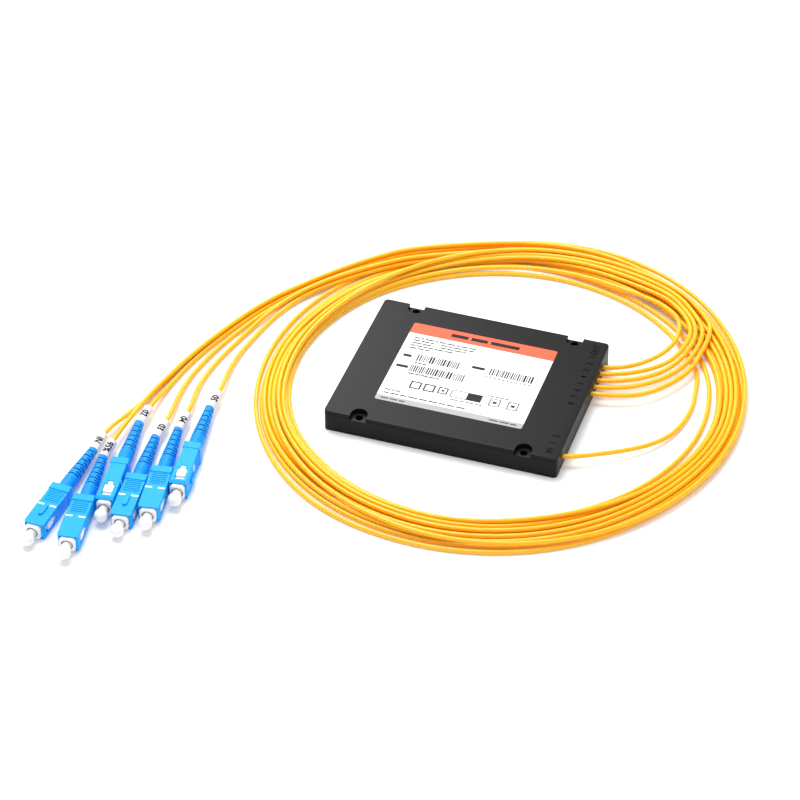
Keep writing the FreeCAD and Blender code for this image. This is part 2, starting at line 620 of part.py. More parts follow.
# ---------------------------------------------------------------------- cords
def make_coil():
    """The outer shape of the coiled stretch of all six cords."""
    x, y = COIL_CENTRE
    inner, outer, low, high = COIL_INNER, COIL_OUTER, COIL_BEVEL, COIL_HEIGHT - COIL_BEVEL
    corners = [(inner + low, 0), (outer - low, 0), (outer, low), (outer, high),
               (outer - low, COIL_HEIGHT), (inner + low, COIL_HEIGHT), (inner, high), (inner, low)]
    profile = [V(r, 0, z) for r, z in corners]
    ring = Part.Face(Part.makePolygon(profile + profile[:1])).revolve(V(0, 0, 0), V(0, 0, 1), 360)
    ring.translate(V(x, y, 0))
    export("cord_coil", [ring])


def make_leads(stop):
    wall = CASE_LENGTH / 2
    for name, port_y in lead_ports():
        points = [V(stop, port_y, PORT_HEIGHT), V(wall + PORT_STRAIGHT, port_y, PORT_HEIGHT)]
        cord("cord_lead_%s" % name, points + [V(*p) for p in LEAD_POINTS[name]])


def make_tails():
    """Each tail ends inside its number sleeve, against the boot."""
    for name, plug in PLUGS.items():
        placement = plug_placement(plug)
        end = placement.multVec(V(BOOT_BACK, 0, 0))
        straight = placement.multVec(V(BOOT_BACK - SLEEVE_LENGTH - STRAIGHT_TAIL[name] / 2, 0, 0))
        cord("cord_tail_%s" % name, [V(*p) for p in TAIL_POINTS[name]] + [straight, end])


os.makedirs("parts", exist_ok=True)
make_case()
jacket_stop = make_clamps()
make_optics(jacket_stop)
make_plugs()
make_coil()
make_leads(jacket_stop)
make_tails()
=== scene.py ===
import math
import random

import bmesh
import bpy
from mathutils import Matrix, Vector


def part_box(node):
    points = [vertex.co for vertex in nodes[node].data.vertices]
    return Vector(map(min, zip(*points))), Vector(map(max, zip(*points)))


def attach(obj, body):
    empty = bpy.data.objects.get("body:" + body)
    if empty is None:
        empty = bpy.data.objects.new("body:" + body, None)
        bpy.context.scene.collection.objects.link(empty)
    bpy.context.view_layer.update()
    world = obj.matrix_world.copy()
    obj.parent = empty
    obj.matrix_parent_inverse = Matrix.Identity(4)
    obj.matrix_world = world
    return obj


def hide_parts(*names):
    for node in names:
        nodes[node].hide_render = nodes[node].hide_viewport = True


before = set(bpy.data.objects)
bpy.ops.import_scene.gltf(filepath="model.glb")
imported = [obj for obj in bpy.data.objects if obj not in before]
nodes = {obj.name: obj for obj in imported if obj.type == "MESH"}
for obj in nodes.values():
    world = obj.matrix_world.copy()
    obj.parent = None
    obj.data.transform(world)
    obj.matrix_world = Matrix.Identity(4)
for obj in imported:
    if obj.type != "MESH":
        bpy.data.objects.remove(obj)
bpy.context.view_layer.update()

# ------------------------------------------------------------------ module case
# The tray and the lid of the case are injection moulded in black ABS and snap together
# along a thin seam.  The mould gives them a fine sparked texture, and the port numbers
# stand out of the mould, so they come out sunk in the lid, with smooth floors that are
# painted a darker black as the shade in the sunk marks.
MM = 0.001                       # the scene is in metres
SMOOTH_ANGLE = math.radians(30)  # edges that turn less than this are shaded round
SAME_SPOT = MM / 1000            # corners nearer than this are merged
CAPITAL_SHARE = 0.7              # height of a capital in the font's own size


def linear(hex_colour):
    """An sRGB hex colour as linear RGBA."""
    parts = [int(hex_colour[i:i + 2], 16) / 255 for i in (1, 3, 5)]
    return tuple(c / 12.92 if c <= 0.04045 else ((c + 0.055) / 1.055) ** 2.4
                 for c in parts) + (1.0,)


def add(material, kind, sockets, **settings):
    """Adds a shader node.  A socket takes a value, or (node, output) to link from."""
    node = material.node_tree.nodes.new("ShaderNode" + kind)
    for name, value in settings.items():
        setattr(node, name, value)
    for name, value in sockets.items():
        if isinstance(value, tuple) and isinstance(value[0], bpy.types.Node):
            material.node_tree.links.new(value[0].outputs[value[1]], node.inputs[name])
        else:
            node.inputs[name].default_value = value
    return node


def empty_material(name):
    material = bpy.data.materials.new(name)
    material.use_nodes = True
    material.node_tree.nodes.clear()
    return material


def moulded(name, shade, light, drift_mm, gloss, texture_mm, depth_mm, extra=None):
    """Moulded plastic: slow colour drift, uneven gloss and the fine texture of the mould.
    gloss is the lowest and the highest roughness; extra holds more of the shader's sockets."""
    material = empty_material(name)
    place = add(material, "TexCoord", {})
    drift = add(material, "TexNoise", {"Vector": (place, "Object"), "Scale": 1 / (drift_mm * MM),
                                       "Detail": 3.0})
    colour = add(material, "Mix", {0: (drift, "Fac"), 6: linear(shade), 7: linear(light)},
                 data_type="RGBA")
    grain = add(material, "TexNoise", {"Vector": (place, "Object"),
                                       "Scale": 1 / (texture_mm * MM), "Detail": 2.0})
    roughness = add(material, "MapRange", {"Value": (grain, "Fac"), "From Min": 0.3,
                                           "From Max": 0.7, "To Min": gloss[0],
                                           "To Max": gloss[1]})
    bump = add(material, "Bump", {"Height": (grain, "Fac"), "Distance": depth_mm * MM,
                                  "Strength": 1.0})
    surface = add(material, "BsdfPrincipled", {"Base Color": (colour, 2),
                                               "Roughness": (roughness, "Result"),
                                               "Normal": (bump, "Normal"), "IOR": 1.53,
                                               **(extra or {})})
    add(material, "OutputMaterial", {"Surface": (surface, "BSDF")})
    return material


# Black ABS: carbon black hides all but the soft reflection of the room, which the
# sparked texture spreads.  Its grain is about 0.05 mm; 0.5 mm is the finest that shows.
sparked_abs = moulded("sparked_black_abs", "#0B0B0C", "#111112", drift_mm=14,
                      gloss=(0.38, 0.46), texture_mm=0.5, depth_mm=0.008,
                      extra={"Specular IOR Level": 0.13})
# The floors of the sunk numbers take the polish of the pins that shaped them; their darker,
# less reflective black is painted shade.
polished_abs_painted_shade = moulded("polished_black_abs_painted_shade", "#020203", "#050506", drift_mm=6,
                       gloss=(0.3, 0.36), texture_mm=0.9, depth_mm=0.002,
                       extra={"Specular IOR Level": 0.08})


def finish(node, material):
    """Gives a CAD node its material."""
    nodes[node].material_slots[0].material = material


def merged_copy(node, name):
    """A copy of a CAD node with its triangles joined up, ready to be worked on."""
    piece = bpy.data.objects.new(name, nodes[node].data.copy())
    bpy.context.scene.collection.objects.link(piece)
    select_only(piece)
    bpy.ops.mesh.customdata_custom_splitnormals_clear()
    bpy.ops.object.mode_set(mode="EDIT")
    bpy.ops.mesh.select_all(action="SELECT")
    bpy.ops.mesh.remove_doubles(threshold=SAME_SPOT)
    bpy.ops.object.mode_set(mode="OBJECT")
    return piece


def select_only(piece):
    bpy.ops.object.select_all(action="DESELECT")
    piece.select_set(True)
    bpy.context.view_layer.objects.active = piece


def text_mesh(words, height_mm, weight_mm, width, depth_mm=0.0):
    """Lettering as a mesh in the XY plane, centred on the origin."""
    bpy.ops.object.select_all(action="DESELECT")
    bpy.ops.object.text_add(location=(0, 0, 0))
    text = bpy.context.object
    text.data.body = words
    text.data.size = height_mm * MM / CAPITAL_SHARE
    text.data.offset = weight_mm * MM
    text.data.align_x = "CENTER"
    text.data.resolution_u = 3
    text.data.extrude = depth_mm * MM / 2
    bpy.ops.object.convert(target="MESH")
    letters = bpy.context.object
    select_only(letters)
    bpy.ops.object.mode_set(mode="EDIT")
    bpy.ops.mesh.select_all(action="SELECT")
    bpy.ops.mesh.remove_doubles(threshold=SAME_SPOT)
    bpy.ops.object.mode_set(mode="OBJECT")
    letters.data.transform(Matrix.Translation((0, -height_mm * MM / 2, 0)))
    letters.data.transform(Matrix.Diagonal((width, 1, 1, 1)))
    return letters


finish("case_base", sparked_abs)

# The marks run in one row along the end wall: OUT and the eight outputs, which are as far
# apart as their ports, and IN with the two inputs.
LID_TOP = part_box("case_lid")[1].z
NUMBER_X = 45.4 * MM
OUTPUTS = 8
OUTPUT_PITCH = 4.6 * MM
FIRST_OUTPUT_Y = 28.8 * MM
LID_WORDS = [("OUT", 33.7 * MM), ("IN", -35.2 * MM), ("1", -30.2 * MM), ("2", -25.5 * MM)]
LID_WORDS += [(str(i + 1), FIRST_OUTPUT_Y - OUTPUT_PITCH * i) for i in range(OUTPUTS)]
NUMBER_HEIGHT_MM, NUMBER_WEIGHT_MM = 2.7, 0.06
NUMBER_WIDTH = 0.82              # how narrow the figures are
NUMBER_DEPTH = 0.2 * MM

lid = merged_copy("case_lid", "lid")
lid.data.materials.clear()
lid.data.materials.append(sparked_abs)
lid.data.materials.append(polished_abs_painted_shade)
for words, y in LID_WORDS:
    cutter = text_mesh(words, NUMBER_HEIGHT_MM, NUMBER_WEIGHT_MM, NUMBER_WIDTH,
                       2 * NUMBER_DEPTH / MM)
    cutter.data.transform(Matrix.Translation((NUMBER_X, y, LID_TOP))
                          @ Matrix.Rotation(math.radians(90), 4, "Z"))
    cutter.data.materials.append(polished_abs_painted_shade)
    select_only(lid)
    cut = lid.modifiers.new("number", "BOOLEAN")
    cut.object = cutter
    cut.operation = "DIFFERENCE"
    cut.solver = "EXACT"
    cut.use_self = True
    bpy.ops.object.modifier_apply(modifier=cut.name)
    bpy.data.objects.remove(cutter)
# The floors of the sunk marks are polished and painted darker as shade, the rest of the lid is
# sparked.
for face in lid.data.polygons:
    sunk = LID_TOP - face.center.z
    face.material_index = 1 if 0.9 * NUMBER_DEPTH < sunk < 1.1 * NUMBER_DEPTH else 0
select_only(lid)
bpy.ops.object.shade_smooth_by_angle(angle=SMOOTH_ANGLE)
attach(lid, "module")
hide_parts("case_lid")

# ------------------------------------------------------------------- face label
# A rounded rectangle of white film with a coral head and a grey foot, stuck on the lid.
# The print on it is generic: lines that stand for text, three groups of stripes and a
# row of plain blocks.  The ink lies on the film in a layer of its own.
LABEL_LOW, LABEL_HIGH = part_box("face_label")
HEAD = 6.9 * MM                  # height of the coral head
FOOT = 3.4 * MM                  # height of the grey foot


def print_colour(name, hex_colour, roughness):
    """Flat printing colour on film: a faint mottle of the ink under a satin varnish."""
    material = empty_material(name)
    place = add(material, "TexCoord", {})
    mottle = add(material, "TexNoise", {"Vector": (place, "Object"), "Scale": 1 / (1.5 * MM),
                                        "Detail": 4.0})
    value = add(material, "MapRange", {"Value": (mottle, "Fac"), "From Min": 0.3,
                                       "From Max": 0.7, "To Min": 0.97, "To Max": 1.03})
    colour = add(material, "HueSaturation", {"Value": (value, "Result"),
                                             "Color": linear(hex_colour)})
    waves = add(material, "TexNoise", {"Vector": (place, "Object"), "Scale": 1 / (6 * MM)})
    bump = add(material, "Bump", {"Height": (waves, "Fac"), "Distance": 0.02 * MM,
                                  "Strength": 1.0})
    surface = add(material, "BsdfPrincipled", {"Base Color": (colour, "Color"),
                                               "Roughness": roughness, "IOR": 1.5,
                                               "Specular IOR Level": 0.25,
                                               "Normal": (bump, "Normal")})
    add(material, "OutputMaterial", {"Surface": (surface, "BSDF")})
    return material


# White polyester film with a satin face.  The inks are solid, and the dark ones are a
# little duller than the film.
white_film = print_colour("white_label_film", "#FBFBFB", 0.5)
coral_ink = print_colour("coral_ink", "#E8603F", 0.5)
grey_ink = print_colour("pale_grey_ink", "#A8A8AC", 0.5)
black_ink = print_colour("black_ink", "#060606", 0.55)
text_ink = print_colour("dark_grey_text_ink", "#3A3A3C", 0.55)

label = merged_copy("face_label", "label")
label.data.materials.clear()
for film in (white_film, coral_ink, grey_ink):
    label.data.materials.append(film)
select_only(label)
bpy.ops.object.mode_set(mode="EDIT")
for edge_y in (LABEL_HIGH.y - HEAD, LABEL_LOW.y + FOOT):
    bpy.ops.mesh.select_all(action="SELECT")
    bpy.ops.mesh.bisect(plane_co=(0, edge_y, 0), plane_no=(0, 1, 0))
bpy.ops.object.mode_set(mode="OBJECT")
for face in label.data.polygons:
    if face.center.y > LABEL_HIGH.y - HEAD:
        face.material_index = 1
    elif face.center.y < LABEL_LOW.y + FOOT:
        face.material_index = 2
bpy.ops.object.shade_smooth_by_angle(angle=SMOOTH_ANGLE)
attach(label, "module")
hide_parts("face_label")

INK = 0.02 * MM                  # thickness of the print


def bar(x, y, length, height):
    """One printed bar from its lower left corner, in millimetres from the label's."""
    low = Vector((LABEL_LOW.x + x * MM, LABEL_LOW.y + y * MM, LABEL_HIGH.z))
    bpy.ops.object.select_all(action="DESELECT")
    bpy.ops.mesh.primitive_cube_add(size=1, location=low + Vector((length * MM / 2,
                                                                 height * MM / 2, INK / 2)))
    piece = bpy.context.object
    piece.data.transform(Matrix.Translation(piece.location)
                         @ Matrix.Diagonal((length * MM, height * MM, INK, 1)))
    piece.location = (0, 0, 0)
    return piece


def join_pieces(pieces, name, material):
    """Joins loose pieces into one of a single material."""
    bpy.ops.object.select_all(action="DESELECT")
    for piece in pieces:
        piece.select_set(True)
    bpy.context.view_layer.objects.active = pieces[0]
    bpy.ops.object.join()
    whole = bpy.context.object
    whole.name = name
    whole.data.materials.clear()
    whole.data.materials.append(material)
    return whole


def print_on_label(bars, name, ink):
    """Lays bars of one ink on the label."""
    print_layer = join_pieces(bars, name, ink)
    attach(print_layer, "module")


draw = random.Random(5)          # the same mix of lengths and widths in every run
STRIPE_WIDTHS_MM = (0.34, 0.42, 0.6, 0.85)
STRIPE_GAPS_MM = (0.34, 0.42, 0.55)


def word_line(x, y, length, height, word, gap):
    """A printed line of bars for words; word is the shortest and the longest of them."""
    bars, at = [], x
    while at < x + length:
        run = min(draw.uniform(*word), x + length - at)
        if run > height / 2:
            bars.append(bar(at, y, run, height))
        at += run + gap
    return bars


def stripes(x, y, length, height):
    """A group of upright stripes of mixed widths."""
    bars, at = [], x
    while at < x + length:
        width = draw.choice(STRIPE_WIDTHS_MM)
        bars.append(bar(at, y, width, height))
        at += width + draw.choice(STRIPE_GAPS_MM)
    return bars


def outline(x, y, length, height, line):
    """A printed rectangular outline."""
    return [bar(x, y, length, line), bar(x, y + height - line, length, line),
            bar(x, y + line, line, height - 2 * line),
            bar(x + length - line, y + line, line, height - 2 * line)]


# The head's three heavy bars, the stripe groups and the blocks are black.  Every place is
# the lower left corner of a bar or a group, in millimetres from the label's own.
heavy = [bar(17.6, 49.2, 7.4, 2.1), bar(26.4, 49.2, 7.2, 2.1), bar(35.0, 49.2, 12.6, 2.1)]
heavy += stripes(8.5, 28.9, 17.6, 4.6) + stripes(7.8, 21.5, 23.2, 4.6)
heavy += stripes(40.2, 29.4, 18.8, 4.6)
heavy += [bar(2.3, 30.5, 3.6, 1.7), bar(1.6, 23.1, 5.2, 1.7), bar(32.2, 31.6, 5.6, 1.7)]
heavy += outline(11.2, 11.0, 4.8, 4.8, 0.7) + outline(17.2, 11.0, 4.8, 4.8, 0.7)
heavy += outline(23.4, 11.4, 4.2, 4.2, 0.6) + [bar(24.9, 12.9, 1.2, 1.2)]
heavy += outline(29.0, 10.8, 7.4, 4.8, 0.4) + [bar(36.4, 10.8, 6.0, 4.8)]
heavy += outline(45.8, 10.2, 4.6, 5.0, 0.45) + outline(53.6, 10.2, 4.6, 5.0, 0.45)
heavy += [bar(47.2, 12.0, 1.8, 1.4), bar(55.0, 12.0, 1.8, 1.4)]
print_on_label(heavy, "label_heavy_print", black_ink)

# The small lines are grey.  First come five rows under the head, of which two have a
# second column, then the lines under the stripes and the blocks, and those of the foot.
ROW_X, TOP_ROW_Y, ROW_PITCH = 3.2, 43.6, 1.75
COLUMN_X = 15.6
TEXT_HEIGHT, FOOT_TEXT_HEIGHT, FINE_TEXT_HEIGHT = 0.75, 0.7, 0.55
ROWS = ((27.0, 0), (9.0, 15.0), (9.4, 11.6), (18.6, 0), (9.0, 0))
small = []
for row, (first_length, second_length) in enumerate(ROWS):
    row_y = TOP_ROW_Y - ROW_PITCH * row
    small += word_line(ROW_X, row_y, first_length, TEXT_HEIGHT, (1.2, 4.2), 0.5)
    small += word_line(COLUMN_X, row_y, second_length, TEXT_HEIGHT, (1.2, 4.2), 0.5)
small += word_line(8.5, 27.3, 5.2, TEXT_HEIGHT, (1.0, 2.4), 0.4)
small += word_line(7.8, 19.9, 14.0, TEXT_HEIGHT, (1.6, 3.2), 0.4)
small += word_line(39.4, 27.6, 20.4, TEXT_HEIGHT, (0.7, 0.8), 1.1)
small += word_line(2.2, 7.0, 6.8, TEXT_HEIGHT, (1.2, 3.0), 0.5)
small += word_line(2.2, 4.8, 35.6, TEXT_HEIGHT, (1.6, 4.6), 0.6)
small += word_line(29.6, 9.0, 14.0, FINE_TEXT_HEIGHT, (1.6, 4.0), 0.5)
small += word_line(44.0, 16.1, 9.6, FINE_TEXT_HEIGHT, (1.2, 3.6), 0.5)
small += word_line(2.2, 1.3, 10.4, FOOT_TEXT_HEIGHT, (2.4, 4.2), 0.6)
small += word_line(49.0, 1.3, 11.8, FOOT_TEXT_HEIGHT, (2.4, 4.2), 0.6)
print_on_label(small, "label_small_print", text_ink)

# --------------------------------------------------------------- cord clamps
# Two blocks of filled epoxy are cast round the ends of the cords behind the end wall and
# hold their jackets.  Cast epoxy is a warm grey with a slightly wet gloss.
cast_epoxy = moulded("cast_grey_epoxy", "#7C7768", "#98927F", drift_mm=2.5,
                     gloss=(0.32, 0.48), texture_mm=0.7, depth_mm=0.02)
finish("output_cord_clamp", cast_epoxy)
finish("input_cord_clamp", cast_epoxy)


# ---------------------------------------------------------------- sealed chip
# A drawn steel tube, closed by two silicone seals, holds the silica splitter chip with a
# glass fibre array glued to each of its ends.
def metal(name, shade, light, gloss, lines_mm, depth_mm):
    """Bare metal with drawing lines along X; lines_mm is their length and their spacing."""
    material = empty_material(name)
    place = add(material, "TexCoord", {})
    stretched = add(material, "Mapping", {"Vector": (place, "Object"),
                                          "Scale": (1 / (lines_mm[0] * MM), 1 / (lines_mm[1] * MM),
                                                    1 / (lines_mm[1] * MM))})
    lines = add(material, "TexNoise", {"Vector": (stretched, "Vector"), "Scale": 1.0,
                                       "Detail": 3.0})
    colour = add(material, "Mix", {0: (lines, "Fac"), 6: linear(shade), 7: linear(light)},
                 data_type="RGBA")
    roughness = add(material, "MapRange", {"Value": (lines, "Fac"), "To Min": gloss[0],
                                           "To Max": gloss[1]})
    bump = add(material, "Bump", {"Height": (lines, "Fac"), "Distance": depth_mm * MM,
                                  "Strength": 1.0})
    surface = add(material, "BsdfPrincipled", {"Base Color": (colour, 2), "Metallic": 1.0,
                                               "Roughness": (roughness, "Result"),
                                               "Normal": (bump, "Normal")})
    add(material, "OutputMaterial", {"Surface": (surface, "BSDF")})
    return material


def clear(name, hex_colour, ior, roughness, through, speck_mm):
    """A see-through material with faint specks in its colour; through is how clear it is."""
    material = empty_material(name)
    place = add(material, "TexCoord", {})
    specks = add(material, "TexNoise", {"Vector": (place, "Object"),
                                        "Scale": 1 / (speck_mm * MM), "Detail": 3.0})
    value = add(material, "MapRange", {"Value": (specks, "Fac"), "To Min": 0.92, "To Max": 1.0})
    colour = add(material, "HueSaturation", {"Value": (value, "Result"),
                                             "Color": linear(hex_colour)})
    surface = add(material, "BsdfPrincipled", {"Base Color": (colour, "Color"),
                                               "Roughness": roughness, "IOR": ior,
                                               "Transmission Weight": through})
    add(material, "OutputMaterial", {"Surface": (surface, "BSDF")})
    return material


# Drawn steel has fine bright lines along the tube.
finish("chip_tube", metal("drawn_stainless_steel", "#A9A8A6", "#C9C8C5", gloss=(0.25, 0.4),
                          lines_mm=(8, 0.2), depth_mm=0.004))
# Silicone is a dull, slightly cloudy white.
finish("tube_end_seals", moulded("white_silicone", "#C6C6C2", "#DADAD6", drift_mm=1.2,
                                 gloss=(0.5, 0.62), texture_mm=0.5, depth_mm=0.01))
# The polished chip is as clear as a lens; the arrays' ground sides look frosted.
finish("splitter_chip", clear("polished_silica", "#EAF2F2", ior=1.46, roughness=0.05,
                              through=0.9, speck_mm=1.0))
array_glass = clear("ground_borosilicate", "#E4ECEC", ior=1.47, roughness=0.28, through=0.75,
                    speck_mm=0.5)
finish("input_fibre_array", array_glass)
finish("output_fibre_array", array_glass)

# The input fibre runs round the closed end of the case in a satin white buffer tube; the
# output fibres are bare glass in their clear acrylate coating.
finish("input_fibre", moulded("white_buffer_tube", "#D8D8D0", "#E8E8E2", drift_mm=9,
                              gloss=(0.3, 0.4), texture_mm=0.6, depth_mm=0.004))
finish("output_fibres", clear("acrylate_coating", "#F2F0E2", ior=1.5, roughness=0.15,
                              through=0.6, speck_mm=2.0))

# ---------------------------------------------------------------------- cords
# Six simplex fibre cords, extruded in yellow low-smoke jacket 2.0 mm thick, leave the end
# wall, run two loose turns round the module together and then fan out to their plugs.
# Each is one line: the lead's points, the turns' points, the tail's points.
CORD_NAMES = ("in", "1", "2", "3", "4", "5")
CORD_WIDTH = 2.0 * MM
# The real lengths in metres, from the end wall to the plug.
LEAD_POINTS = {
    "in": [(0.0430, -0.0310, 0.0050), (0.0480, -0.0310, 0.0050), (0.0522, -0.0310, 0.0050),
           (0.0606, -0.0266, 0.0048), (0.0708, -0.0200, 0.0041), (0.0804, -0.0116, 0.0029),
           (0.0869, -0.0021, 0.0018), (0.0902, 0.0084, 0.0012), (0.0913, 0.0188, 0.0010),
           (0.0907, 0.0270, 0.0010)],
    "1": [(0.0430, 0.0300, 0.0050), (0.0480, 0.0300, 0.0050), (0.0522, 0.0300, 0.0050),
           (0.0608, 0.0340, 0.0049), (0.0674, 0.0408, 0.0048), (0.0720, 0.0480, 0.0047),
           (0.0746, 0.0570, 0.0048), (0.0743, 0.0630, 0.0050), (0.0734, 0.0690, 0.0051),
           (0.0693, 0.0752, 0.0050)],
    "2": [(0.0430, 0.0254, 0.0050), (0.0480, 0.0254, 0.0050), (0.0522, 0.0254, 0.0050),
           (0.0612, 0.0293, 0.0049), (0.0689, 0.0349, 0.0048), (0.0750, 0.0416, 0.0047),
           (0.0783, 0.0500, 0.0048), (0.0795, 0.0577, 0.0050), (0.0794, 0.0646, 0.0051),
           (0.0762, 0.0720, 0.0051), (0.0706, 0.0788, 0.0050)],
    "3": [(0.0430, 0.0208, 0.0050), (0.0480, 0.0208, 0.0050), (0.0522, 0.0208, 0.0050),
           (0.0612, 0.0241, 0.0049), (0.0689, 0.0293, 0.0047), (0.0753, 0.0362, 0.0046),
           (0.0794, 0.0447, 0.0047), (0.0812, 0.0530, 0.0049), (0.0820, 0.0605, 0.0050),
           (0.0805, 0.0682, 0.0051), (0.0762, 0.0758, 0.0052)],
    "4": [(0.0430, 0.0162, 0.0050), (0.0480, 0.0162, 0.0050), (0.0522, 0.0162, 0.0050),
           (0.0612, 0.0191, 0.0049), (0.0689, 0.0239, 0.0047), (0.0760, 0.0312, 0.0045),
           (0.0810, 0.0393, 0.0045), (0.0834, 0.0477, 0.0047), (0.0846, 0.0555, 0.0048),
           (0.0847, 0.0636, 0.0050), (0.0820, 0.0726, 0.0052)],
    "5": [(0.0430, 0.0116, 0.0050), (0.0480, 0.0116, 0.0050), (0.0522, 0.0116, 0.0050),
           (0.0612, 0.0136, 0.0049), (0.0704, 0.0177, 0.0047), (0.0774, 0.0254, 0.0044),
           (0.0829, 0.0347, 0.0043), (0.0859, 0.0431, 0.0045), (0.0864, 0.0500, 0.0047),
           (0.0872, 0.0582, 0.0049), (0.0873, 0.0666, 0.0050), (0.0847, 0.0752, 0.0053)],
}

# The turns go round the coil's middle, one point every 30 degrees, as radius and height.
TURN_STEP = math.radians(30)
TURN_START = {"in": 30, "1": 60, "2": 60, "3": 60, "4": 60, "5": 60}
COIL_X = (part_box("cord_coil")[0].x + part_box("cord_coil")[1].x) / 2
COIL_Y = (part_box("cord_coil")[0].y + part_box("cord_coil")[1].y) / 2
TURNS = {
    "in": [(0.0833, 0.0010), (0.0832, 0.0010), (0.0829, 0.0010), (0.0826, 0.0010), (0.0856, 0.0010),
          (0.0882, 0.0010), (0.0890, 0.0010), (0.0860, 0.0010), (0.0834, 0.0010), (0.0806, 0.0010),
          (0.0818, 0.0010), (0.0854, 0.0010), (0.0884, 0.0010), (0.0866, 0.0010), (0.0874, 0.0010),
          (0.0903, 0.0010), (0.0910, 0.0014), (0.0929, 0.0027), (0.0960, 0.0041), (0.0970, 0.0047),
          (0.0980, 0.0042), (0.0980, 0.0037), (0.0984, 0.0034), (0.0999, 0.0033), (0.1034, 0.0032),
          (0.1070, 0.0032), (0.1066, 0.0032)],
    "1": [(0.0871, 0.0043), (0.0850, 0.0035), (0.0836, 0.0030), (0.0860, 0.0024), (0.0882, 0.0020),
          (0.0909, 0.0018), (0.0877, 0.0020), (0.0850, 0.0024), (0.0821, 0.0030), (0.0861, 0.0031),
          (0.0909, 0.0031), (0.0919, 0.0031), (0.0898, 0.0026), (0.0911, 0.0014), (0.0922, 0.0012),
          (0.0931, 0.0028), (0.0971, 0.0031), (0.0999, 0.0028), (0.0992, 0.0025), (0.0966, 0.0023),
          (0.0943, 0.0024), (0.0930, 0.0026), (0.0970, 0.0029), (0.0992, 0.0034), (0.1023, 0.0040),
          (0.1034, 0.0048)],
    "2": [(0.0917, 0.0046), (0.0908, 0.0035), (0.0883, 0.0026), (0.0884, 0.0010), (0.0918, 0.0010),
          (0.0963, 0.0010), (0.0937, 0.0010), (0.0918, 0.0010), (0.0893, 0.0010), (0.0893, 0.0010),
          (0.0940, 0.0010), (0.0961, 0.0010), (0.0958, 0.0010), (0.0969, 0.0010), (0.0992, 0.0010),
          (0.1004, 0.0010), (0.1009, 0.0010), (0.1032, 0.0010), (0.1048, 0.0010), (0.1014, 0.0010),
          (0.0992, 0.0010), (0.0966, 0.0010), (0.1003, 0.0011), (0.1019, 0.0015), (0.1045, 0.0020),
          (0.1044, 0.0028)],
    "3": [(0.0947, 0.0054), (0.0913, 0.0056), (0.0864, 0.0045), (0.0871, 0.0032), (0.0904, 0.0023),
          (0.0939, 0.0017), (0.0914, 0.0012), (0.0892, 0.0010), (0.0864, 0.0010), (0.0868, 0.0010),
          (0.0919, 0.0010), (0.0939, 0.0010), (0.0935, 0.0010), (0.0951, 0.0010), (0.0964, 0.0010),
          (0.0965, 0.0010), (0.0976, 0.0010), (0.1011, 0.0010), (0.1010, 0.0010), (0.0982, 0.0010),
          (0.0960, 0.0010), (0.0943, 0.0010), (0.0982, 0.0011), (0.1000, 0.0014), (0.1010, 0.0020),
          (0.1012, 0.0030)],
    "4": [(0.0972, 0.0061), (0.0933, 0.0056), (0.0884, 0.0049), (0.0888, 0.0044), (0.0913, 0.0042),
          (0.0939, 0.0038), (0.0926, 0.0032), (0.0905, 0.0028), (0.0879, 0.0027), (0.0881, 0.0027),
          (0.0929, 0.0027), (0.0951, 0.0028), (0.0950, 0.0029), (0.0930, 0.0032), (0.0901, 0.0035),
          (0.0913, 0.0038), (0.0950, 0.0034), (0.0978, 0.0025), (0.0955, 0.0021), (0.0934, 0.0022),
          (0.0910, 0.0023), (0.0905, 0.0026), (0.0951, 0.0028), (0.0970, 0.0029), (0.0983, 0.0039),
          (0.0970, 0.0052)],
    "5": [(0.0993, 0.0063), (0.0955, 0.0069), (0.0887, 0.0071), (0.0862, 0.0059), (0.0888, 0.0046),
          (0.0921, 0.0036), (0.0898, 0.0026), (0.0870, 0.0017), (0.0835, 0.0010), (0.0840, 0.0010),
          (0.0898, 0.0010), (0.0918, 0.0010), (0.0914, 0.0010), (0.0931, 0.0010), (0.0943, 0.0010),
          (0.0945, 0.0010), (0.0955, 0.0010), (0.0991, 0.0010), (0.0973, 0.0010), (0.0951, 0.0010),
          (0.0926, 0.0010), (0.0918, 0.0010), (0.0961, 0.0010), (0.0980, 0.0011), (0.0985, 0.0018),
          (0.0976, 0.0032)],
}

